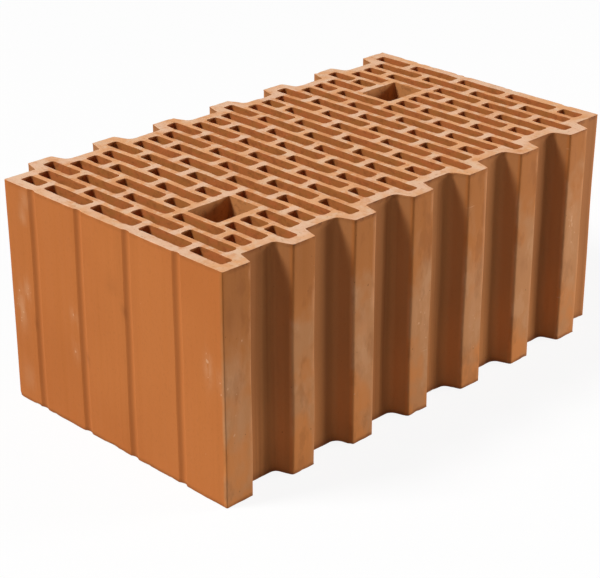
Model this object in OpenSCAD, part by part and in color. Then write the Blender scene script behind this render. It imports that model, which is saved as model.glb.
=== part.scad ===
// Perforated clay wall block with interlocking sides.
// The clay is pushed through a die, cut across with a wire and fired, so the whole block is one
// prism: one section, the same from the lower cut face to the upper one.
// X runs along the wall from block to block, Y runs through the wall's thickness, and Z is up.
// The section looks the same after half a turn about Z, so one half of it is drawn and turned.

/* [Block] */
// Height between the two cut faces
block_height = 190; // [60:1:250]
// Thickness of the clay between the end face and the first row of slots
end_shell = 8.8; // [6:0.1:16]
// Thickness of the clay between a row of slots and the floor of a side recess
side_shell = 8.8; // [6:0.1:16]
// Rounding of the four outer corners
corner_radius = 1.2; // [0.5:0.1:4]

/* [Slots] */
// Number of full slots in an even row
slots_per_row = 4; // [3:1:6]
// Length of a full slot
slot_length = 49.4; // [46:0.1:60]
// Width of a slot
slot_width = 11.2; // [8:0.1:14]
// Rounding of the slot corners
slot_radius = 2.5; // [0.5:0.1:3.5]
// Web between two slots of one row
slot_web = 6.6; // [4:0.1:9]
// Web between two rows
row_web = 5; // [4:0.1:8]

/* [Tongues] */
// Number of tongues on each side
tongue_count = 7; // [4:1:9]
// Height of a tongue above the floor of the recess
tongue_depth = 15; // [8:0.1:20]
// Tip of a tongue, between the lines of its flanks
tongue_tip = 22.5; // [14:0.1:24]
// Distance from the row's centre line to the middle of the tip
tip_shift = 0.75; // [0:0.05:4]
// Distance along the side that the rounded flank slopes over
rounded_flank = 5.3; // [2:0.1:7]
// Distance along the side that the sharp flank slopes over
sharp_flank = 4.5; // [1:0.1:7]
// Rounding at the foot of the rounded flank
foot_radius = 6; // [1:0.1:8]
// Rounding of the tip at the rounded flank
tip_radius = 2.5; // [0.5:0.1:4]
// Clay between the tip and the slot inside the tongue
tongue_shell = 10; // [6:0.1:14]

/* [Grip holes] */
// Width of a grip hole along the row
grip_width = 33; // [26:0.1:40]
// Row on whose centre line the first grip hole lies
grip_row = 5; // [5:4:9]
// Rounding of the grip hole's corners
grip_radius = 2; // [0.5:0.1:8]
// Thin web that splits the row beside a grip hole
grip_side_web = 4; // [3:0.1:6]

/* [End faces] */
// Width of a groove in an end face
groove_width = 9.5; // [4:0.1:12]
// Depth of a groove
groove_depth = 1.4; // [0.5:0.1:2]

/* [Hidden] */

clay_colour = [0.76, 0.46, 0.24];

// Steps of one rounded corner, of the rounding at the foot of a flank and of a groove
corner_steps = 3;
foot_steps = 5;
groove_steps = 6;

// A right-hand tongue, an even row, a left-hand tongue and an even row follow each other
rows_per_tongue = 4;
row_count = rows_per_tongue * tongue_count - 1;
middle_row = (row_count + 1) / 2;
row_pitch = slot_width + row_web;
slot_pitch = slot_length + slot_web;

// Places along X, to the right of the middle
core_x = (slots_per_row * slot_pitch - slot_web) / 2;
recess_x = core_x + side_shell;
tip_x = recess_x + tongue_depth;
tongue_slot_x = tip_x - tongue_shell;
last_slot_x = (slots_per_row - 2) / 2 * slot_pitch + slot_length / 2;
short_length = core_x - last_slot_x - slot_web;

// Places along Y
end_y = (row_count * row_pitch - row_web) / 2 + end_shell;
tip_start = tip_shift - tongue_tip / 2;
tip_end = tip_shift + tongue_tip / 2;

// The grip hole starts where the last full slot of its row would start
grip_x = last_slot_x - slot_length;
grip_end_x = grip_x + grip_width;
grip_half_y = row_pitch + slot_width / 2;

function row_y(row) = (row - middle_row) * row_pitch;

// Half a turn about the middle of the block
function turned(points) = [for (p = points) -p];

function turned_by(p, angle) = [p.x * cos(angle) - p.y * sin(angle), p.x * sin(angle) + p.y * cos(angle)];

function mirrored_row(slots) = [for (s = slots) [-s[1], -s[0]]];

// Points of a quarter circle about a centre, from one angle on
function quarter(centre, radius, from) = [
    for (i = [0 : corner_steps])
        let (angle = from + 90 * i / corner_steps)
            centre + radius * [cos(angle), sin(angle)]
];

function rounded_box(x0, x1, y0, y1, radius) = concat(
    quarter([x1 - radius, y1 - radius], radius, 0),
    quarter([x0 + radius, y1 - radius], radius, 90),
    quarter([x0 + radius, y0 + radius], radius, 180),
    quarter([x1 - radius, y0 + radius], radius, 270)
);

// Each row is a list of slots, and each slot is its start and end along X

function even_row() = [
    for (i = [0 : slots_per_row - 1])
        let (start = i * slot_pitch - core_x)
            [start, start + slot_length]
];

// The full slots of an odd row lie half a slot pitch beside those of the even rows
function full_odd_slots() = [
    for (i = [0 : slots_per_row - 2])
        let (start = i * slot_pitch - last_slot_x)
            [start, start + slot_length]
];

function tongue_row() = concat(
    [[-core_x, short_length - core_x]],
    full_odd_slots(),
    [[last_slot_x + slot_web, tongue_slot_x]]
);

// An even row beside a grip hole: a slot stops one web short of the hole
function even_row_at_grip() = [
    for (s = even_row())
        s[1] <= grip_x - slot_web || s[0] >= grip_end_x + slot_web ? s :
        s[0] < grip_x - slot_web ? [s[0], grip_x - slot_web] :
        [grip_end_x + slot_web, s[1]]
];

// The tongue row through a grip hole: a short slot and a thin web follow the hole
function tongue_row_at_grip() =
    let (short_start = grip_end_x + slot_web)
    let (short_end = short_start + short_length)
        concat(
            [for (s = tongue_row()) if (s[1] < grip_x) s],
            [[short_start, short_end]],
            [[short_end + grip_side_web, tongue_slot_x]]
        );

function row_slots(row) =
    row == grip_row ? tongue_row_at_grip() :
    abs(row - grip_row) == 1 ? even_row_at_grip() :
    row % 2 == 0 ? even_row() :
    row % rows_per_tongue == 1 ? tongue_row() :
    mirrored_row(tongue_row());

// Hollow arc of a groove in the front edge, from left to right
function groove_points(groove_x) =
    let (half_sweep = 2 * atan(2 * groove_depth / groove_width))
    let (radius = groove_width / 2 / sin(half_sweep))
    let (centre = [groove_x, groove_depth - radius - end_y])
        [
            for (i = [0 : groove_steps])
                let (angle = 90 + half_sweep * (1 - 2 * i / groove_steps))
                    centre + radius * [cos(angle), sin(angle)]
        ];

// Front edge from left to right, with a groove at each web of the first row
function front_edge() = concat(
    quarter([corner_radius - recess_x, corner_radius - end_y], corner_radius, 180),
    [
        for (i = [0 : slots_per_row - 1])
            each groove_points(i * slot_pitch - last_slot_x - slot_web / 2)
    ],
    quarter([tip_x - corner_radius, corner_radius - end_y], corner_radius, 270)
);

// Arc that rounds a corner and touches both of its edges
function rounded_corner(before, corner, after, radius, steps) =
    let (to_before = (before - corner) / norm(before - corner))
    let (to_after = (after - corner) / norm(after - corner))
    let (half_angle = acos(to_before * to_after) / 2)
    let (start = corner + to_before * radius / tan(half_angle))
    let (middle = (to_before + to_after) / norm(to_before + to_after))
    let (centre = corner + middle * radius / sin(half_angle))
    let (sweep = -sign(cross(to_before, to_after)) * (180 - 2 * half_angle))
        [for (i = [0 : steps]) centre + turned_by(start - centre, sweep * i / steps)];

// Flank in front of a tongue, from the floor of the recess out to the tip
function rounded_flank_points(y) =
    let (foot = [recess_x, y + tip_start - rounded_flank])
    let (tip = [tip_x, y + tip_start])
        concat(
            rounded_corner([recess_x, -end_y], foot, tip, foot_radius, foot_steps),
            rounded_corner(foot, tip, [tip_x, y + tip_end], tip_radius, corner_steps)
        );

// Right-hand side from front to back; the first tongue is the front corner itself
function right_side() = [
    for (i = [0 : tongue_count - 1])
        let (y = row_y(1 + i * rows_per_tongue))
            each concat(
                i > 0 ? rounded_flank_points(y) : [],
                [[tip_x, y + tip_end]],
                [[recess_x, y + tip_end + sharp_flank]]
            )
];

module outline() {
    half = concat(front_edge(), right_side());
    polygon(concat(half, turned(half)));
}

module slot(row, ends) {
    y = row_y(row);
    polygon(rounded_box(ends[0], ends[1], y - slot_width / 2, y + slot_width / 2, slot_radius));
}

module grip_hole() {
    y = row_y(grip_row);
    polygon(rounded_box(grip_x, grip_end_x, y - grip_half_y, y + grip_half_y, grip_radius));
}

module half_openings() {
    for (row = [1 : middle_row - 1])
        for (ends = row_slots(row))
            slot(row, ends);
    grip_hole();
}

module section() {
    difference() {
        outline();
        half_openings();
        rotate(180) half_openings();
        for (ends = row_slots(middle_row))
            slot(middle_row, ends);
    }
}

module clay_block() {
    color(clay_colour)
        linear_extrude(block_height)
            section();
}

clay_block();
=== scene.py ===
# Looks of a fired clay wall block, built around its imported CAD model.
import math
import random
from typing import NamedTuple

import bpy
import numpy as np
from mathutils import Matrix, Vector
from mathutils import geometry
from mathutils import kdtree
from mathutils import noise


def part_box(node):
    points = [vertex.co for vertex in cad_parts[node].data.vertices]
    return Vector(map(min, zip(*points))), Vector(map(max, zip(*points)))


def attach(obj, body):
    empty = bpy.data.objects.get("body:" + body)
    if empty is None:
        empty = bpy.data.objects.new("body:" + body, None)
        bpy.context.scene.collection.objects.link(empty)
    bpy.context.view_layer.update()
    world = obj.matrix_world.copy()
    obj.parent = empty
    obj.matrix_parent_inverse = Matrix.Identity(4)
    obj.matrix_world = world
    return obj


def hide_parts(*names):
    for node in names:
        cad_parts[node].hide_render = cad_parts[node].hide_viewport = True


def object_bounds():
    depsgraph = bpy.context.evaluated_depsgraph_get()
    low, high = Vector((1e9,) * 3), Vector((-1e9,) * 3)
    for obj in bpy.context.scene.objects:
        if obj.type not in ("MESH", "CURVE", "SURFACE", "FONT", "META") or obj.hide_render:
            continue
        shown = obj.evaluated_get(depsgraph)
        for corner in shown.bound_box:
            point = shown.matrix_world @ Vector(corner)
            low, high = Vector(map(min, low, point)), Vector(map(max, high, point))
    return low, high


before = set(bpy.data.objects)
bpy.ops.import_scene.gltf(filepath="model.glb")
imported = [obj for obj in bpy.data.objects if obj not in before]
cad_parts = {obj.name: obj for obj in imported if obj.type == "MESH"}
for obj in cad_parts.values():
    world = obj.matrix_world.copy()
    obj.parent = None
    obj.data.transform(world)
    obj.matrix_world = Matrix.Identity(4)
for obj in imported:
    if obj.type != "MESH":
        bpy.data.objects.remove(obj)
cad_low, cad_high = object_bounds()

MM = 0.001
BODY = "root"
NODE = "clay_block"
PIECE = "clay_block_fired"
SEED = 45

# Without a seed of its own, the noise would take one from the clock
noise.seed_set(SEED)

# Numbers of the axes in a list of points
X, Y, Z = range(3)

# Camera, in metres, with the lens for a 36 mm wide sensor
CAMERA_PLACE = Vector((0.970, -0.986, 0.700))
CAMERA_TARGET = Vector((0.044, -0.061, 0.095))
CAMERA_LENS = 108.0

# Reading the CAD section: how near the top the cut face lies, and the decimals that places in metres keep
CAP_DEPTH = 0.1 * MM
PLACE_DECIMALS = 6

# Outer corners with a larger turn than this are rounded, over at most a share of the edges beside them
SHARP_TURN = math.radians(40)
CORNER_RADIUS = 0.9 * MM
CORNER_STEPS = 3
CORNER_SHARE = 0.45

# Distance between points along an outline, and the share of it by which an edge may be longer
OUTLINE_SPACING = 3.0 * MM
HOLE_SPACING = 3.6 * MM
SPACING_SLACK = 0.01

# Smallest turn for which the radius of a bend is worked out
LEAST_TURN = 1e-6

# How the slots drift from their true places behind the die: sizes, and noise per metre
DRIFTS = [(0.8 * MM, 15.0), (0.5 * MM, 70.0)]

# Rounding of a cut edge: its mean and least size, how uneven it is, its noise per metre and its steps
EDGE_RADIUS = 0.4 * MM
EDGE_LEAST = 0.12 * MM
EDGE_UNEVEN = 0.7
EDGE_GRAIN = 190.0
EDGE_STEPS = 2

# Its largest size on the outer wall and in a hole
EDGE_LIMIT = 2.4 * MM
HOLE_EDGE_LIMIT = 1.3 * MM

# Bends where the clay gets narrower inwards: their least turn, the share of their radius that the rounding
# may take up, and how fast that grows along the outline
BEND_TURN = math.radians(5)
BEND_SHARE = 0.8
BEND_SLOPE = 0.5

# Strip of the cut face along its edges
STRIP_WIDTH = 0.25 * MM

# Nicks that widen the rounding: length of outline for each one, and the ranges of half widths and depths
NICK_EVERY = 32 * MM
NICK_WIDTH = (1.0 * MM, 3.4 * MM)
NICK_DEPTH = (0.3 * MM, 1.4 * MM)

# Burr that the wire leaves along a cut edge: its size, what is added to its noise, and noise per metre
BURR_SIZE = 0.55 * MM
HOLE_BURR_SIZE = 0.2 * MM
BURR_MORE = 0.1
BURR_GRAIN = 110.0

# Layers of the noise for the upper and the lower edge, and the step from an edge to its burr
TOP_LAYER = 1.0
LOW_LAYER = 0.0
BURR_LAYER = 0.5

# Triangulation of a cut face: the kind that keeps what lies inside the outermost outline, and its tolerance
KEEP_INSIDE = 1
TOLERANCE = 1e-8

# Depths below a cut face at which a wall gets a ring of points, and the step between the rings further down
OUTLINE_DEPTHS = [1.4 * MM, 4 * MM, 8 * MM, 13 * MM, 19 * MM]
OUTLINE_STEP = 8 * MM
HOLE_DEPTHS = [1.4 * MM, 7 * MM]

# Depth below a cut face down to which the outer wall counts as its edge
EDGE_BAND = 3 * MM

# Waves of the outer wall from the die, the same all the way down, and from slumping: size, noise per metre
DIE_WAVE = 0.25 * MM
DIE_SCALE = 16.0
SLUMP_WAVE = 0.7 * MM
SLUMP_SCALE = 13.0

# Rubbed corners of the outer wall: their least turn, their largest radius, and how far they are rubbed
RUBBED_TURN = math.radians(12)
RUBBED_RADIUS = 1.0 * MM
RUBBED_WIDTH = 1.6 * MM

# Depth from an end face at which the sides of the block start
SIDE_START = 2.0 * MM

# Crisp borders of the grooves in the end faces: their least turn, and how far in from the tips they lie
CREASE_TURN = math.radians(20)
CREASE_INSET = 20 * MM

# Painted shade in a groove, on the wall where the outline runs into it: the depth and the change of slope
# over which it darkens, and how dark it is where the slope is level
GROOVE_FULL = 0.8 * MM
GROOVE_SLOPE = 0.4
GROOVE_LEVEL = 0.5

# A hole with a larger area than this is a grip hole
GRIP_AREA = 1000 * MM * MM

# Room in the clay beside a cut edge: how far in it is measured, the room at a thin web and at a thick one,
# and the spacing of the points that it is measured to
ROOM_PROBE = 3.3 * MM
ROOM_THIN = 1.9 * MM
ROOM_THICK = 3.3 * MM
ROOM_SPACING = 1.0 * MM

# Chipped corner: its place in mm, its reach, the share of the reach that it moves by, its unevenness and
# noise per metre
CHIP_PLACE = (-117.5, -225.0, 0.0)
CHIP_REACH = 3 * MM
CHIP_PUSH = 0.45
CHIP_ROUGH = 0.35
CHIP_GRAIN = 400.0

# Pale scuffs and dark smudges, listed one by one: where they are along X and Z on the front face, half
# their width and height, all in mm, and their strength
FRONT_BAND = 4 * MM
FRONT_SCUFFS = [
    (-106, 84, 6, 16, 0.9),
    (-97, 101, 4, 10, 0.9),
    (-97, 166, 4, 6, 0.9),
    (-93, 179, 5, 8, 0.6),
    (-102, 22, 8, 12, 0.4),
    (-38, 97, 3.5, 7, 1.0),
    (-38, 70, 3.5, 8, 1.0),
    (116, 110, 4, 14, 0.9),
    (129, 103, 4, 8, 0.9),
]
FRONT_SMUDGES = [
    (23, 123, 2.5, 3, 0.9),
    (-25, 67, 2.5, 5, 0.7),
    (10, 141, 7, 6, 0.35),
    (-88, 74, 2, 3, 0.7),
]

# The same on the tips of the right-hand tongues, where they are along Y and Z
TIP_BAND = 3 * MM
TIP_SCUFFS = [
    (-213, 85, 9, 50, 0.5),
    (-145, 120, 10, 3, 0.5),
    (-71, 118, 3, 7, 1.0),
    (-82, 80, 9, 40, 0.5),
    (-13, 85, 10, 28, 0.7),
    (50, 60, 8, 40, 0.5),
    (177, 107, 8, 40, 0.6),
]
TIP_SMUDGES = [
    (-219, 153, 5, 14, 0.8),
    (-211, 160, 12, 34, 0.4),
    (-145, 170, 12, 30, 0.3),
    (-85, 110, 4, 5, 0.6),
    (-7, 139, 3, 6, 0.7),
    (112, 90, 4, 8, 0.5),
]


# Section of the block, taken from the CAD model


def cap_loops(mesh, top):
    """Closed outlines of the upper cut face, with the clay to the left of each."""
    places = [tuple(round(c, PLACE_DECIMALS) for c in v.co.xy) for v in mesh.vertices]
    edges = set()
    for face in mesh.polygons:
        corners = list(face.vertices)
        if min(mesh.vertices[c].co.z for c in corners) < top - CAP_DEPTH:
            continue
        for a, b in zip(corners, corners[1:] + corners[:1]):
            edges.add((places[a], places[b]))
    following = {a: b for a, b in sorted(edges) if (b, a) not in edges}
    loops = []
    while following:
        start = next(iter(following))
        loop = [start]
        place = following.pop(start)
        while place != start:
            loop.append(place)
            place = following.pop(place)
        loops.append(np.array(loop))
    return loops


def area(loop):
    """Area inside an outline, below 0 for one that runs clockwise."""
    x, y = loop[:, X], loop[:, Y]
    return 0.5 * np.sum(x * np.roll(y, -1) - y * np.roll(x, -1))


def softened(loop):
    """The outline with each sharp corner rounded by a short curve."""
    points = []
    count = len(loop)
    for i, corner in enumerate(loop):
        to_before = loop[i - 1] - corner
        to_after = loop[(i + 1) % count] - corner
        length_before = np.linalg.norm(to_before)
        length_after = np.linalg.norm(to_after)
        to_before = to_before / length_before
        to_after = to_after / length_after
        turn = math.pi - math.acos(np.clip(to_before @ to_after, -1, 1))
        if turn < SHARP_TURN:
            points.append(corner)
            continue
        longest = CORNER_SHARE * min(length_before, length_after)
        reach = min(CORNER_RADIUS * math.tan(turn / 2), longest)
        start = corner + to_before * reach
        end = corner + to_after * reach
        for step in range(CORNER_STEPS + 1):
            t = step / CORNER_STEPS
            points.append((1 - t) ** 2 * start + 2 * t * (1 - t) * corner + t * t * end)
    return np.array(points)


def spaced(loop, spacing):
    """The outline with points added along its long edges."""
    points = []
    for a, b in zip(loop, np.roll(loop, -1, axis=0)):
        parts = max(1, math.ceil(np.linalg.norm(b - a) / spacing - SPACING_SLACK))
        for part in range(parts):
            points.append(a + (b - a) * part / parts)
    return np.array(points)


def drifted(points):
    """The points of a slot, moved a little as the clay moved behind the die."""
    moved = points.copy()
    for i, (x, y) in enumerate(points):
        for size, scale in DRIFTS:
            drift = noise.noise_vector(Vector((x, y, 0)) * scale)
            moved[i] += size * np.array(drift.xy)
    return moved


class Outline:
    """Points of one closed outline, with what the rings around it need."""

    def __init__(self, loop):
        self.outer = area(loop) > 0
        if self.outer:
            self.points = spaced(softened(loop), OUTLINE_SPACING)
        else:
            self.points = drifted(spaced(loop, HOLE_SPACING))
        self.room = np.zeros(len(self.points))
        self.inside = np.full(len(self.points), not self.outer)
        self.grip = np.full(len(self.points), area(loop) < -GRIP_AREA)
        self.follow()
        self.find_sides()

    def follow(self):
        """Sets the directions, bends and lengths along the outline."""
        ahead = np.roll(self.points, -1, axis=0) - self.points
        lengths = np.linalg.norm(ahead, axis=1)
        ahead = ahead / lengths[:, None]
        behind = np.roll(ahead, 1, axis=0)
        self.turn = np.arctan2(
            behind[:, X] * ahead[:, Y] - behind[:, Y] * ahead[:, X],
            np.sum(behind * ahead, axis=1),
        )
        mean = behind + ahead
        self.direction = mean / np.linalg.norm(mean, axis=1)[:, None]
        left = np.column_stack([-self.direction[:, Y], self.direction[:, X]])
        self.inward = left / np.cos(self.turn / 2)[:, None]
        self.along = np.concatenate([[0], np.cumsum(lengths)[:-1]])
        self.length = lengths.sum()
        near = (lengths + np.roll(lengths, 1)) / 2
        self.radius = near / np.maximum(self.turn, LEAST_TURN)

    def find_sides(self):
        """Sets how far each outer wall point faces sideways, the crisp groove borders, and painted shade in
        grooves.
        """
        across = np.abs(self.points[:, X])
        depth = np.abs(self.points[:, Y]).max() - np.abs(self.points[:, Y])
        self.side = self.outer * np.abs(self.direction[:, Y]) * (depth > SIDE_START)
        at_end = self.outer & (depth < SIDE_START) & (across < cad_high.x - CREASE_INSET)
        self.crease = at_end & (self.turn > CREASE_TURN)
        entering = -self.direction[:, Y] * np.sign(self.points[:, Y])
        entered = np.clip(GROOVE_LEVEL + entering / GROOVE_SLOPE, 0, 1)
        self.groove = at_end * entered * np.clip(depth / GROOVE_FULL, 0, 1)

    def distance(self, place):
        """Distance along the outline from each point to a place on it."""
        gap = np.abs(self.along - place)
        return np.minimum(gap, self.length - gap)

    def rough(self, grain, layer):
        """Noise at each point, from about -1 to 1."""
        return np.array([noise.noise(Vector((x * grain, y * grain, layer))) for x, y in self.points])

    def edge_sizes(self, layer, rng):
        """Rounding of the cut edge at each point, uneven and with nicks."""
        sizes = EDGE_RADIUS * (1 + EDGE_UNEVEN * self.rough(EDGE_GRAIN, layer))
        for _ in range(int(self.length / NICK_EVERY)):
            gap = self.distance(rng.uniform(0, self.length)) / rng.uniform(*NICK_WIDTH)
            sizes += rng.uniform(*NICK_DEPTH) * np.exp(-gap * gap)
        limit = np.full(len(sizes), EDGE_LIMIT if self.outer else HOLE_EDGE_LIMIT)
        for i in np.flatnonzero(self.turn > BEND_TURN):
            room = BEND_SHARE * self.radius[i] - STRIP_WIDTH
            limit = np.minimum(limit, room + BEND_SLOPE * self.distance(self.along[i]))
        return np.clip(sizes, EDGE_LEAST, np.maximum(limit, EDGE_LEAST))

    def burrs(self, layer):
        """How far the cut edge hangs over the wall at each point."""
        size = BURR_SIZE if self.outer else HOLE_BURR_SIZE
        return size * np.maximum(self.rough(BURR_GRAIN, layer + BURR_LAYER) + BURR_MORE, 0)

    def corner_wear(self):
        """1 at a sharp outward corner of the outer wall, falling to 0 beside it."""
        wear = np.zeros(len(self.points))
        if self.outer:
            for i in np.flatnonzero((self.turn > RUBBED_TURN) & (self.radius < RUBBED_RADIUS)):
                gap = self.distance(self.along[i]) / RUBBED_WIDTH
                wear = np.maximum(wear, np.exp(-gap * gap))
        return wear


def measure_room(outlines):
    """Sets how thick the clay is beside each point, from 0 at a thin web to 1."""
    samples = np.concatenate([spaced(outline.points, ROOM_SPACING) for outline in outlines])
    tree = kdtree.KDTree(len(samples))
    for i, (x, y) in enumerate(samples):
        tree.insert((x, y, 0), i)
    tree.balance()
    for outline in outlines:
        probes = outline.points + outline.inward * ROOM_PROBE
        gaps = np.array([tree.find((x, y, 0))[2] for x, y in probes])
        outline.room = np.clip((gaps - ROOM_THIN) / (ROOM_THICK - ROOM_THIN), 0, 1)


# Rings of points from the upper cut face down to the lower one


def wall_levels(outer, height):
    """Heights of the rings between the two rounded edges, from the top down."""
    depths = OUTLINE_DEPTHS if outer else HOLE_DEPTHS
    middle = []
    if outer:
        first = depths[-1]
        steps = round((height - 2 * first) / OUTLINE_STEP)
        middle = [first + (height - 2 * first) * i / steps for i in range(1, steps)]
    levels = depths + middle + [height - d for d in reversed(depths)]
    return levels[::-1]


def ring_plan(outline, height, rng):
    """For each ring: how far inside the outline it lies, its heights, whether it is edge and whether cut."""
    top = outline.edge_sizes(TOP_LAYER, rng)
    low = outline.edge_sizes(LOW_LAYER, rng)
    top_burr = outline.burrs(TOP_LAYER)
    low_burr = outline.burrs(LOW_LAYER)
    flat = np.zeros(len(top))
    plan = [(top + STRIP_WIDTH, flat + height, 1.0, True)]
    angles = [math.pi / 2 * step / EDGE_STEPS for step in range(EDGE_STEPS + 1)]
    for step, angle in enumerate(angles):
        inset = top * (1 - math.sin(angle)) - top_burr * math.sin(angle)
        plan.append((inset, height - top * (1 - math.cos(angle)), 1.0, step < EDGE_STEPS - 1))
    for level in wall_levels(outline.outer, height):
        edge = max(0.0, 1 - min(level, height - level) / EDGE_BAND) if outline.outer else 0.0
        plan.append((flat, flat + level, edge, False))
    for step, angle in enumerate(angles):
        inset = low * (1 - math.cos(angle)) - low_burr * math.cos(angle)
        plan.append((inset, low * (1 - math.sin(angle)), 1.0, step > 0))
    plan.append((low + STRIP_WIDTH, flat, 1.0, True))
    return plan


def waves(x, y, z):
    """How the outer wall lies off its true place."""
    die = noise.noise_vector(Vector((x, y, 0)) * DIE_SCALE)
    slump = noise.noise_vector(Vector((x, y, z)) * SLUMP_SCALE)
    return (DIE_WAVE * die + SLUMP_WAVE * slump).xy


def ring_points(outline, inset, heights):
    """Points of a ring that lies inside the outline by the inset, at the heights."""
    points = outline.points + outline.inward * inset[:, None]
    if outline.outer:
        points += np.array([waves(x, y, z) for (x, y), z in zip(outline.points, heights)])
    return np.column_stack([points, heights])


class Block:
    """Mesh data of the whole block, with values at its points that the materials read."""

    def __init__(self):
        self.points = []
        self.faces = []
        self.cut = []
        self.values = {name: [] for name in ("edge", "worn", "room", "side", "inside", "grip", "groove")}
        self.crease = []
        self.top = []
        self.low = []
        self.outer = set()

    def add_ring(self, points, **values):
        """Adds points and their values, and returns their numbers."""
        start = len(self.points)
        self.points.extend(points.tolist())
        for name, value in values.items():
            self.values[name].extend(value.tolist())
        return list(range(start, start + len(points)))

    def add_wall(self, outline, height, rng):
        """Adds the wall along one outline, with its two rounded edges."""
        if outline.outer:
            self.outer.add(len(self.top))
        corner = outline.corner_wear()
        upper = None
        upper_cut = False
        for inset, heights, edge, cut in ring_plan(outline, height, rng):
            points = ring_points(outline, inset, heights)
            ring = self.add_ring(
                points,
                edge=np.full(len(points), edge),
                worn=corner,
                room=outline.room,
                side=outline.side,
                inside=outline.inside,
                grip=outline.grip,
                groove=outline.groove,
            )
            self.crease.extend(outline.crease.tolist())
            if upper is None:
                self.top.append(ring)
            else:
                ahead = ring[1:] + ring[:1]
                upper_ahead = upper[1:] + upper[:1]
                self.faces.extend(zip(upper, ring, ahead, upper_ahead))
                self.cut.extend([upper_cut if heights.mean() > height / 2 else cut] * len(ring))
            upper = ring
            upper_cut = cut
        self.low.append(upper)

    def add_cap(self, rings, upward):
        """Adds the flat cut face between the rings, as triangles."""
        ids = [i for ring in rings for i in ring]
        flat = [Vector(self.points[i][:2]) for i in ids]
        owner = {i: number for number, ring in enumerate(rings) for i in ring}
        edges = []
        start = 0
        for ring in rings:
            edges.extend((start + i, start + (i + 1) % len(ring)) for i in range(len(ring)))
            start += len(ring)
        made = geometry.delaunay_2d_cdt(flat, edges, [], KEEP_INSIDE, TOLERANCE)
        made_points, _, made_faces, origins, _, _ = made
        if len(made_points) != len(flat):
            raise RuntimeError("the outlines of the cut face cross each other")
        source = [ids[origin[0]] for origin in origins]
        for face in made_faces:
            corners = [source[i] for i in face]
            owners = {owner[i] for i in corners}
            if len(owners) == 1 and owners.isdisjoint(self.outer):
                continue
            self.faces.append(corners if upward else corners[::-1])
            self.cut.append(True)


def chipped(points, centre):
    """The points with those near the chipped corner moved unevenly towards the middle of the block."""
    corner = np.array(CHIP_PLACE) * MM
    distance = np.linalg.norm(points - corner, axis=1)
    direction = np.sign(centre - corner)
    direction = direction / np.linalg.norm(direction)
    moved = points.copy()
    for i in np.flatnonzero(distance < CHIP_REACH):
        rough = 1 + CHIP_ROUGH * noise.noise(Vector(points[i]) * CHIP_GRAIN)
        moved[i] += direction * (CHIP_REACH - distance[i]) * CHIP_PUSH * rough
    return moved


def marks(points, axis, places, on_face):
    """Strength of hand-placed marks at each point of one face, which runs along the axis and Z."""
    strength = np.zeros(len(points))
    for place, height, half_width, half_height, most in places:
        a = (points[:, axis] - place * MM) / (half_width * MM)
        b = (points[:, Z] - height * MM) / (half_height * MM)
        strength = np.maximum(strength, most * np.exp(-a * a - b * b))
    return np.where(on_face, strength, 0)


def make_block(cad):
    """The dressed block, built on the section of the CAD node."""
    low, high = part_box(NODE)
    height = high.z - low.z
    rng = random.Random(SEED)
    outlines = [Outline(loop) for loop in cap_loops(cad.data, high.z)]
    measure_room(outlines)
    block = Block()
    for outline in outlines:
        block.add_wall(outline, height, rng)
    block.add_cap(block.top, True)
    block.add_cap(block.low, False)
    points = chipped(np.array(block.points), np.array([0, 0, height / 2]))

    mesh = bpy.data.meshes.new(PIECE)
    mesh.from_pydata(points.tolist(), [], block.faces)
    mesh.polygons.foreach_set("use_smooth", [True] * len(block.faces))
    mesh.polygons.foreach_set("material_index", [int(cut) for cut in block.cut])
    for edge in mesh.edges:
        edge.use_edge_sharp = all(block.crease[v] for v in edge.vertices)
    on_front = points[:, Y] < low.y + FRONT_BAND
    on_tips = points[:, X] > high.x - TIP_BAND
    values = {
        **block.values,
        "scuffed": marks(points, X, FRONT_SCUFFS, on_front) + marks(points, Y, TIP_SCUFFS, on_tips),
        "smudged": marks(points, X, FRONT_SMUDGES, on_front) + marks(points, Y, TIP_SMUDGES, on_tips),
    }
    for name, value in values.items():
        layer = mesh.attributes.new(name, "FLOAT", "POINT")
        layer.data.foreach_set("value", np.array(value, dtype=np.float32))
    mesh.update()
    piece = bpy.data.objects.new(PIECE, mesh)
    bpy.context.scene.collection.objects.link(piece)
    normals = piece.modifiers.new("even_normals", "WEIGHTED_NORMAL")
    normals.keep_sharp = True
    return piece


# Materials


def colour(red, green, blue):
    """A colour given as it shows on a screen, from 0 to 255, by the sRGB curve."""
    linear = []
    for value in (red, green, blue):
        share = value / 255
        linear.append(share / 12.92 if share <= 0.04045 else ((share + 0.055) / 1.055) ** 2.4)
    return (*linear, 1.0)


# Tones of the skin, all over it and on each of its parts
SKIN_LIGHT = colour(210, 125, 63)
SKIN_DARK = colour(203, 118, 57)
SHADED_FLANK_TONE = colour(184, 123, 73)
SHADED_SIDE_TONE = colour(186, 122, 70)
LOW_SIDE_LIGHT_TONE = colour(208, 138, 80)
LOW_TIP_TONE = colour(224, 141, 76)
TOP_TIP_TONE = colour(190, 117, 58)
INSIDE_SHADED_TONE = colour(182, 115, 57)
INSIDE_SHADED_RED_TONE = colour(196, 114, 61)
GRIP_LIGHT_TONE = colour(206, 142, 84)
DEEP_SHADE_TONE = colour(120, 88, 58)
SHADE_TONE = colour(142, 80, 38)
DUST_TONE = colour(198, 142, 96)
FLECK_TONE = colour(228, 178, 136)
SCUFF_TONE = colour(222, 162, 116)
SPECK_TONE = colour(112, 62, 34)
RUBBED_TONE = colour(224, 156, 106)

# Tones of the cut faces
CUT_LIGHT = colour(234, 172, 122)
CUT_DARK = colour(218, 150, 100)
ROOM_TONE = colour(232, 174, 126)
PALE_ROOM_TONE = colour(241, 203, 174)
SPOT_TONE = colour(234, 196, 162)
STAIN_TONE = colour(212, 140, 84)
PORE_TONE = colour(164, 98, 58)


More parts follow.
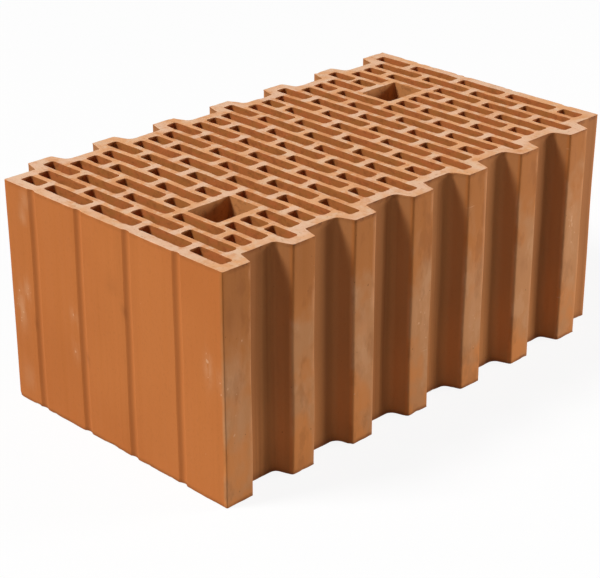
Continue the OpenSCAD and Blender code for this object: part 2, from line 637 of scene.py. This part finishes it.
class Pattern(NamedTuple):
    """Noise in a material, and what it does there."""

    # Spots per metre, and along each axis a share of them, so that a small share draws the spots out
    scale: float
    stretch: tuple
    detail: float
    rough: float = 0.5
    # Values of the noise at which its patches start and are full
    patches: tuple = (0.0, 1.0)
    # Share of a second tone in the patches
    share: float = 1.0
    # Height of the bump that the noise makes
    relief: float = 0.0


# Stretch of a pattern that is the same all round, that the die drags down the block, or that lies across it
EVEN = (1, 1, 1)
DRAGGED = (1, 1, 0.014)
DRAGGED_WIDE = (1, 1, 0.03)
SCRATCHED = (0.12, 0.12, 1)
WIRED = (0.04, 1, 1)

# Patterns all over the skin
CLOUDS = Pattern(11, (1, 1, 0.6), 3.0, patches=(0.3, 0.7))
STREAKS = Pattern(150, DRAGGED, 3.0, patches=(0.5, 0.8), relief=0.03 * MM)
WIDE_STREAKS = Pattern(34, DRAGGED_WIDE, 2.0, patches=(0.45, 0.75), relief=0.2 * MM)
GRAIN = Pattern(620, (1, 1, 0.6), 2.0, patches=(0.5, 0.85), share=0.12, relief=0.06 * MM)
FLECKS = Pattern(330, (1, 1, 0.7), 1.0, patches=(0.82, 0.88), share=0.75)
SPECKS = Pattern(280, (1, 1, 0.8), 1.0, patches=(0.8, 0.85), share=0.6)

# Patterns in the holes
HOLE_STAINS = Pattern(70, (0.6, 1, 1.5), 4.0, 0.7, patches=(0.36, 0.64))
HOLE_CRUST = Pattern(190, (0.7, 1, 1), 3.0, 0.65, patches=(0.48, 0.66), share=0.4)

# Patterns on the tips of the tongues
TIP_DUST = Pattern(26, (1, 1, 0.8), 3.0, 0.55, patches=(0.24, 0.46), share=0.68)
TIP_BLOTS = Pattern(60, (1, 1, 0.55), 4.0, 0.62, patches=(0.5, 0.64), share=0.2)
TIP_SOIL = Pattern(45, (1, 1, 0.5), 4.0, 0.62, patches=(0.52, 0.64), share=0.25)
TIP_SCRATCHES = Pattern(330, SCRATCHED, 1.0, patches=(0.77, 0.83), share=0.35)

# Patterns in the scuffs, on rubbed corners and along the cut edges, one of them a painted shadow there
SMEARS = Pattern(90, (1, 1, 0.3), 4.0, 0.65, patches=(0.32, 0.6), share=0.75)
RUBBED_PATCHES = Pattern(40, (1, 1, 0.5), 4.0, 0.6, patches=(0.44, 0.6), share=0.6)
EDGE_SHADES = Pattern(70, EVEN, 3.0, 0.6, patches=(0.68, 0.4))
CRUMBS = Pattern(210, EVEN, 2.0, patches=(0.56, 0.66), share=0.8)

# Patterns of the cut faces
CUT_CLOUDS = Pattern(26, EVEN, 3.0, patches=(0.35, 0.65))
CUT_PALE = Pattern(21, EVEN, 3.0, 0.55, patches=(0.4, 0.6))
CUT_GRAIN = Pattern(480, EVEN, 3.0, 0.6, patches=(0.45, 0.75), share=0.3, relief=0.25 * MM)
CUT_LINES = Pattern(260, WIRED, 2.0, patches=(0.5, 0.8), share=0.2, relief=0.2 * MM)
CUT_STAINS = Pattern(95, (0.7, 1, 1), 4.0, 0.65, patches=(0.5, 0.7), share=0.65)
CUT_SPOTS = Pattern(80, EVEN, 4.0, 0.65, patches=(0.48, 0.64), share=0.65)
CUT_PORES = Pattern(330, EVEN, 1.0, patches=(0.66, 0.74), share=0.3)

# How far a wall faces sideways where it starts to be a flank, or a tip or recess, and where it is one fully
FLANK_FACING = (0.05, 0.3)
SIDE_FACING = (0.4, 0.95)

# Share of dark streaks, and of the painted shadow along the cut edges, on the end faces and on the sides
STREAK_SHARES = (0.07, 0.45)
EDGE_SHADE_SHARES = (0.4, 0.9)

# Painted light from the floor on the sides: height below which they get lighter, height at which they are
# lightest, and the share of that tone
LOW_SIDE_FROM = 95 * MM
LOW_SIDE_FULL = 20 * MM
LOW_SIDE_LIGHT_SHARE = 0.85

# Painted shade at the foot of the recesses, by the floor: its height and share
FOOT_HEIGHT = 9 * MM
FOOT_SHADE_SHARE = 0.6

# Darker band along the lower edge of the outer wall: its height and share
SOLE_HEIGHT = 4 * MM
SOLE_SHARE = 0.5

# Painted shade deep in the holes: depth below the nearer cut face at which the walls start to darken,
# depth at which they are darkest, and the share of that tone
DEEP_START = 5 * MM
DEEP_FULL = 32 * MM
DEEP_SHADE_SHARE = 0.85

# Shares of the paler tone of grip holes, painted light against their shade, of the painted shade on one
# wall of a groove, of smudges and of thick clay
GRIP_LIGHT_SHARE = 0.8
GROOVE_SHADE_SHARE = 0.36
SMUDGE_SHARE = 0.5
ROOM_SHARE = 0.75

# Tips: depths from the widest place at which they start and are full, and the share of their tone
TIP_START = 4 * MM
TIP_FULL = 1 * MM
TIP_SHARE = 0.9

# Dust on the tips: the height with most of it, and how it thins out per metre above and below
DUST_HEIGHT = 74 * MM
DUST_FADE = 3.6

# What a scuff adds to the noise of the flecks, and a tip to that of the specks
SCUFF_FLECKS = 0.27
TIP_SPECKS = 0.05

# Roughness and specular level of the skin and of the cut faces
SKIN_ROUGHNESS = (0.66, 0.8)
SKIN_SPECULAR = 0.18
CUT_ROUGHNESS = (0.82, 0.95)
CUT_SPECULAR = 0.15

# Values that a noise mostly lies between
NOISE_RANGE = (0.3, 0.7)

# Sockets of a mix of two colours
MIX_SHARE = 0
MIX_FIRST = 6
MIX_SECOND = 7
MIX_RESULT = 2


class Shader:
    """Adds nodes to one material and links them."""

    def __init__(self, name):
        self.material = bpy.data.materials.new(name)
        self.material.use_nodes = True
        self.tree = self.material.node_tree
        self.surface = self.tree.nodes["Principled BSDF"].inputs
        self.place = self.add("ShaderNodeTexCoord").outputs["Object"]
        self.tone = None
        self.normal = None

    def add(self, kind, inputs=None, **settings):
        """A new node."""
        made = self.tree.nodes.new(kind)
        for name, value in settings.items():
            setattr(made, name, value)
        for socket, value in (inputs or {}).items():
            self.set(made.inputs[socket], value)
        return made

    def set(self, socket, value):
        """Links a socket to another one, or gives it a value."""
        if isinstance(value, bpy.types.NodeSocket):
            self.tree.links.new(value, socket)
        else:
            socket.default_value = value

    def attribute(self, name):
        """A value that is stored at the points of the mesh."""
        return self.add("ShaderNodeAttribute", attribute_name=name).outputs["Fac"]

    def noise(self, pattern):
        """The noise of a pattern."""
        size = tuple(pattern.scale * s for s in pattern.stretch)
        place = self.add("ShaderNodeVectorMath", {0: self.place, 1: size}, operation="MULTIPLY").outputs[0]
        inputs = {"Vector": place, "Scale": 1.0, "Detail": pattern.detail, "Roughness": pattern.rough}
        return self.add("ShaderNodeTexNoise", inputs).outputs[0]

    def patches(self, pattern, more=None):
        """1 in the patches of a pattern and 0 between them; more is added to its noise."""
        value = self.noise(pattern)
        if more is not None:
            value = self.math("ADD", value, more)
        return self.step(value, *pattern.patches)

    def step(self, value, low, high):
        """0 at low, 1 at high and smooth between."""
        inputs = {"Value": value, "From Min": low, "From Max": high}
        return self.add("ShaderNodeMapRange", inputs, interpolation_type="SMOOTHSTEP").outputs[0]

    def scaled(self, value, first, second):
        """Goes evenly over the second range as the value goes over the first one."""
        inputs = {"Value": value}
        inputs["From Min"], inputs["From Max"] = first
        inputs["To Min"], inputs["To Max"] = second
        return self.add("ShaderNodeMapRange", inputs).outputs[0]

    def math(self, operation, a, b=0.0):
        """The result of an operation on one or two numbers."""
        return self.add("ShaderNodeMath", {0: a, 1: b}, operation=operation).outputs[0]

    def times(self, a, b):
        """The product of two numbers."""
        return self.math("MULTIPLY", a, b)

    def gap(self, a, b):
        """How far two numbers are apart."""
        return self.math("ABSOLUTE", self.math("SUBTRACT", a, b))

    def mix(self, share, first, second):
        """The first colour with a share of the second one."""
        inputs = {MIX_SHARE: share, MIX_FIRST: first, MIX_SECOND: second}
        return self.add("ShaderNodeMix", inputs, data_type="RGBA").outputs[MIX_RESULT]

    def lay(self, tone, where, share=1.0):
        """Lays a tone over what is there, up to a share of it."""
        self.tone = self.mix(self.times(where, share), self.tone, tone)

    def emboss(self, height, relief):
        """Adds a bump to those that are there."""
        inputs = {"Height": height, "Distance": relief, "Strength": 1.0}
        if self.normal is not None:
            inputs["Normal"] = self.normal
        self.normal = self.add("ShaderNodeBump", inputs).outputs[0]

    def finish(self, roughness, specular):
        """Links the tones and the bumps to the surface, and returns the material."""
        self.set(self.surface["Base Color"], self.tone)
        self.set(self.surface["Roughness"], roughness)
        self.set(self.surface["Specular IOR Level"], specular)
        self.set(self.surface["Normal"], self.normal)
        return self.material


class Skin(Shader):
    """Clay as the die leaves it."""

    def __init__(self):
        super().__init__("fired_clay_skin")
        self.side = self.attribute("side")
        self.inside = self.attribute("inside")
        self.edge = self.attribute("edge")
        self.scuffed = self.attribute("scuffed")
        place = self.add("ShaderNodeSeparateXYZ", {0: self.place}).outputs
        self.up = place["Z"]
        self.tip = self.step(self.gap(place["X"], 0.0), cad_high.x - TIP_START, cad_high.x - TIP_FULL)

    def lay_walls(self):
        """Tones of the walls, end faces first, then sides, holes and grooves, partly painted shade and
        painted light.
        """
        self.tone = self.mix(self.patches(CLOUDS), SKIN_DARK, SKIN_LIGHT)
        # Flanks and sides get duller, darker tones than the end faces: painted shade
        flank = self.step(self.side, *FLANK_FACING)
        self.lay(SHADED_FLANK_TONE, flank)
        self.lay(SHADED_SIDE_TONE, self.step(self.side, *SIDE_FACING))
        # Sides lighter towards the bottom: painted light thrown up from the floor
        low_side_light = self.times(flank, self.step(self.up, LOW_SIDE_FROM, LOW_SIDE_FULL))
        self.lay(LOW_SIDE_LIGHT_TONE, low_side_light, LOW_SIDE_LIGHT_SHARE)

        # Hole walls darker than the outer wall, as painted shade, with stains between two tones
        self.lay(self.mix(self.patches(HOLE_STAINS), INSIDE_SHADED_TONE, INSIDE_SHADED_RED_TONE), self.inside)
        # Painted shade, darker the deeper a hole wall lies
        middle = cad_high.z / 2
        depth = self.math("SUBTRACT", middle, self.gap(self.up, middle))
        deep_shade = self.times(self.inside, self.step(depth, DEEP_START, DEEP_FULL))
        self.lay(DEEP_SHADE_TONE, deep_shade, DEEP_SHADE_SHARE)
        # Paler tone in the grip holes: painted light against their shade
        self.lay(GRIP_LIGHT_TONE, self.attribute("grip"), GRIP_LIGHT_SHARE)
        # Painted shade on one wall of each groove
        self.lay(SHADE_TONE, self.attribute("groove"), GROOVE_SHADE_SHARE)
        crust = self.times(self.inside, self.patches(HOLE_CRUST))
        self.lay(SHADE_TONE, crust, HOLE_CRUST.share)

    def lay_drag_marks(self):
        """Drag marks and grain, in tone and bump; returns the noise of the narrow streaks."""
        streaks = self.noise(STREAKS)
        wide_streaks = self.noise(WIDE_STREAKS)
        grain = self.noise(GRAIN)
        share = self.scaled(self.side, (0, 1), STREAK_SHARES)
        self.lay(SHADE_TONE, self.step(wide_streaks, *WIDE_STREAKS.patches), share)
        self.lay(SHADE_TONE, self.step(streaks, *STREAKS.patches), share)
        self.lay(SHADE_TONE, self.step(grain, *GRAIN.patches), GRAIN.share)
        self.emboss(wide_streaks, WIDE_STREAKS.relief)
        self.emboss(streaks, STREAKS.relief)
        self.emboss(grain, GRAIN.relief)
        return streaks

    def lay_tips(self):
        """Tones of the tips, partly painted light, their dust, soil and scratches, and painted shade at
        recess feet.
        """
        # Tips paler towards the bottom: partly less dust up high, partly painted light thrown up from the
        # floor
        height_share = self.step(self.up, cad_low.z, cad_high.z)
        self.lay(self.mix(height_share, LOW_TIP_TONE, TOP_TIP_TONE), self.tip, TIP_SHARE)
        # Painted shade at the foot of the recesses
        recess = self.math("SUBTRACT", self.side, self.tip)
        foot_shade = self.times(recess, self.step(self.up, FOOT_HEIGHT, cad_low.z))
        self.lay(SHADE_TONE, foot_shade, FOOT_SHADE_SHARE)

        fade = self.times(self.gap(self.up, DUST_HEIGHT), -DUST_FADE)
        dusty = self.times(self.tip, self.patches(TIP_DUST, fade))
        self.lay(DUST_TONE, dusty, TIP_DUST.share)
        self.lay(FLECK_TONE, self.times(dusty, self.patches(TIP_BLOTS)), TIP_BLOTS.share)
        self.lay(SHADE_TONE, self.times(self.tip, self.patches(TIP_SOIL)), TIP_SOIL.share)
        self.lay(FLECK_TONE, self.times(self.tip, self.patches(TIP_SCRATCHES)), TIP_SCRATCHES.share)

    def lay_marks(self):
        """Scuffs, pale flecks, smudges and dark specks."""
        self.lay(SCUFF_TONE, self.times(self.scuffed, self.patches(SMEARS)), SMEARS.share)
        flecks = self.patches(FLECKS, self.times(self.scuffed, SCUFF_FLECKS))
        self.lay(FLECK_TONE, flecks, FLECKS.share)
        self.lay(SHADE_TONE, self.attribute("smudged"), SMUDGE_SHARE)
        specks = self.patches(SPECKS, self.times(self.tip, TIP_SPECKS))
        self.lay(SPECK_TONE, specks, SPECKS.share)

    def lay_edges(self):
        """Rubbed corners, a painted shadow and crumbs along the cut edges, and a darker band along the lower
        edge.
        """
        rubbed = self.times(self.attribute("worn"), self.patches(RUBBED_PATCHES))
        self.lay(RUBBED_TONE, rubbed, RUBBED_PATCHES.share)
        # Painted shadow along the cut edges, strongest on the sides
        shade = self.times(self.edge, self.patches(EDGE_SHADES))
        self.lay(SHADE_TONE, shade, self.scaled(self.side, (0, 1), EDGE_SHADE_SHARES))
        sole = self.math("SUBTRACT", self.step(self.up, SOLE_HEIGHT, cad_low.z), self.inside)
        self.lay(SHADE_TONE, sole, SOLE_SHARE)
        crumbs = self.times(self.times(self.edge, self.side), self.patches(CRUMBS))
        self.lay(SPECK_TONE, crumbs, CRUMBS.share)


def skin_material():
    """Clay as the die leaves it: smooth, with drag marks, dust, flecks and scuffs, and painted light and
    shade.
    """
    skin = Skin()
    skin.lay_walls()
    streaks = skin.lay_drag_marks()
    skin.lay_tips()
    skin.lay_marks()
    skin.lay_edges()
    return skin.finish(skin.scaled(streaks, NOISE_RANGE, SKIN_ROUGHNESS), SKIN_SPECULAR)


def cut_material():
    """Clay as the wire leaves it: paler, grainy, with light spots, stains, pores and faint drag lines."""
    cut = Shader("fired_clay_cut")
    grain = cut.noise(CUT_GRAIN)
    lines = cut.noise(CUT_LINES)
    cut.tone = cut.mix(cut.patches(CUT_CLOUDS), CUT_DARK, CUT_LIGHT)
    room_tone = cut.mix(cut.patches(CUT_PALE), ROOM_TONE, PALE_ROOM_TONE)
    cut.lay(room_tone, cut.attribute("room"), ROOM_SHARE)
    cut.lay(CUT_DARK, cut.step(grain, *CUT_GRAIN.patches), CUT_GRAIN.share)
    cut.lay(CUT_DARK, cut.step(lines, *CUT_LINES.patches), CUT_LINES.share)
    cut.lay(STAIN_TONE, cut.patches(CUT_STAINS), CUT_STAINS.share)
    cut.lay(SPOT_TONE, cut.patches(CUT_SPOTS), CUT_SPOTS.share)
    cut.lay(PORE_TONE, cut.patches(CUT_PORES), CUT_PORES.share)
    cut.emboss(lines, CUT_LINES.relief)
    cut.emboss(grain, CUT_GRAIN.relief)
    return cut.finish(cut.scaled(grain, NOISE_RANGE, CUT_ROUGHNESS), CUT_SPECULAR)


# Stage, light and camera

# Floor: its size, the gap below the block, the light that it throws back, and how white it is and how much
# it glows where it is seen
FLOOR_SIZE = 8.0
FLOOR_DROP = 0.2 * MM
FLOOR_BOUNCE = 0.39
FLOOR_WHITE = 0.95
FLOOR_GLOW = 0.9

# Covered floor: how far it lies inside the block's box, and its roughness
COVER_INSET_X = 18 * MM
COVER_INSET_Y = 4 * MM
COVER_ROUGHNESS = 0.9

# Light from all around
WORLD_LEVEL = 0.075

# Soft lights: name, direction from the block, distance and size in metres, and level
LIGHTS = [
    ("key", Vector((-0.49, -0.87, 1.14)), 8.0, 2.0, 0.98),
    ("fill", Vector((0.616, 0.788, 0.2)), 2.2, 0.8, 0.7),
    ("front", Vector((0.75, -0.6, 0.1)), 2.4, 0.6, 0.04),
]


def grey(level):
    """A colour without hue, from 0 to 1."""
    return (level, level, level, 1)


def seen_directly(tree):
    """1 for what the camera, a reflection or glass sees, and 0 for light that falls on the block."""
    path = tree.nodes.new("ShaderNodeLightPath")
    seen = path.outputs["Is Camera Ray"]
    for name in ("Is Glossy Ray", "Is Transmission Ray"):
        larger = tree.nodes.new("ShaderNodeMath")
        larger.operation = "MAXIMUM"
        tree.links.new(seen, larger.inputs[0])
        tree.links.new(path.outputs[name], larger.inputs[1])
        seen = larger.outputs[0]
    return seen


def glowing_floor():
    """White where it is seen, with faint shadows, and duller for the light that it throws on the block."""
    material = bpy.data.materials.new("pale_floor")
    material.use_nodes = True
    tree = material.node_tree
    tree.nodes.clear()
    lit = tree.nodes.new("ShaderNodeBsdfDiffuse")
    lit.inputs["Color"].default_value = grey(FLOOR_BOUNCE)
    white = tree.nodes.new("ShaderNodeBsdfDiffuse")
    white.inputs["Color"].default_value = grey(FLOOR_WHITE)
    glow = tree.nodes.new("ShaderNodeEmission")
    shown = tree.nodes.new("ShaderNodeMixShader")
    shown.inputs[0].default_value = FLOOR_GLOW
    tree.links.new(white.outputs[0], shown.inputs[1])
    tree.links.new(glow.outputs[0], shown.inputs[2])
    either = tree.nodes.new("ShaderNodeMixShader")
    tree.links.new(seen_directly(tree), either.inputs[0])
    tree.links.new(lit.outputs[0], either.inputs[1])
    tree.links.new(shown.outputs[0], either.inputs[2])
    output = tree.nodes.new("ShaderNodeOutputMaterial")
    tree.links.new(either.outputs[0], output.inputs["Surface"])
    return material


def covered_floor():
    """The floor under the block, which shows only through the holes and lies in shadow."""
    material = bpy.data.materials.new("covered_floor")
    material.use_nodes = True
    surface = material.node_tree.nodes["Principled BSDF"]
    surface.inputs["Base Color"].default_value = grey(FLOOR_BOUNCE)
    surface.inputs["Roughness"].default_value = COVER_ROUGHNESS
    return material


def rectangle(half_x, half_y, height):
    """Corners of a level rectangle around the middle."""
    return [
        (-half_x, -half_y, height),
        (half_x, -half_y, height),
        (half_x, half_y, height),
        (-half_x, half_y, height),
    ]


def make_floor():
    """The floor, with a part of its own under the block."""
    height = cad_low.z - FLOOR_DROP
    outer = rectangle(FLOOR_SIZE / 2, FLOOR_SIZE / 2, height)
    inner = rectangle(cad_high.x - COVER_INSET_X, cad_high.y - COVER_INSET_Y, height)
    count = len(outer)
    around = [(i, (i + 1) % count, count + (i + 1) % count, count + i) for i in range(count)]
    covered = tuple(range(count, 2 * count))
    mesh = bpy.data.meshes.new("floor")
    mesh.from_pydata(outer + inner, [], around + [covered])
    mesh.materials.append(glowing_floor())
    mesh.materials.append(covered_floor())
    mesh.polygons[len(around)].material_index = 1
    floor = bpy.data.objects.new("floor", mesh)
    bpy.context.scene.collection.objects.link(floor)


def make_world():
    """A white surrounding that throws little light on the block."""
    world = bpy.data.worlds.new("studio")
    world.use_nodes = True
    tree = world.node_tree
    background = tree.nodes["Background"]
    background.inputs["Color"].default_value = grey(1)
    level = tree.nodes.new("ShaderNodeMapRange")
    level.inputs["To Min"].default_value = WORLD_LEVEL
    level.inputs["To Max"].default_value = 1.0
    tree.links.new(seen_directly(tree), level.inputs["Value"])
    tree.links.new(level.outputs[0], background.inputs["Strength"])
    bpy.context.scene.world = world


def add_light(name, direction, distance, size, level):
    """A square soft light; at level 1 it alone shows a facing white surface as white."""
    light = bpy.data.lights.new(name, "AREA")
    light.size = size
    light.energy = level * math.pi ** 2 * distance ** 2
    holder = bpy.data.objects.new(name, light)
    bpy.context.scene.collection.objects.link(holder)
    centre = (cad_low + cad_high) / 2
    holder.location = centre + direction.normalized() * distance
    holder.rotation_euler = (-direction).to_track_quat("-Z", "Y").to_euler()


def make_camera():
    """The camera at the photo's viewing angle."""
    data = bpy.data.cameras.new("camera")
    data.lens = CAMERA_LENS
    holder = bpy.data.objects.new("camera", data)
    bpy.context.scene.collection.objects.link(holder)
    holder.location = CAMERA_PLACE
    holder.rotation_euler = (CAMERA_TARGET - CAMERA_PLACE).to_track_quat("-Z", "Y").to_euler()
    bpy.context.scene.camera = holder


make_camera()
block = make_block(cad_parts[NODE])
block.data.materials.append(skin_material())
block.data.materials.append(cut_material())
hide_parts(NODE)
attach(block, BODY)
make_floor()
make_world()
for light in LIGHTS:
    add_light(*light)
bpy.context.scene.view_settings.view_transform = "Standard"
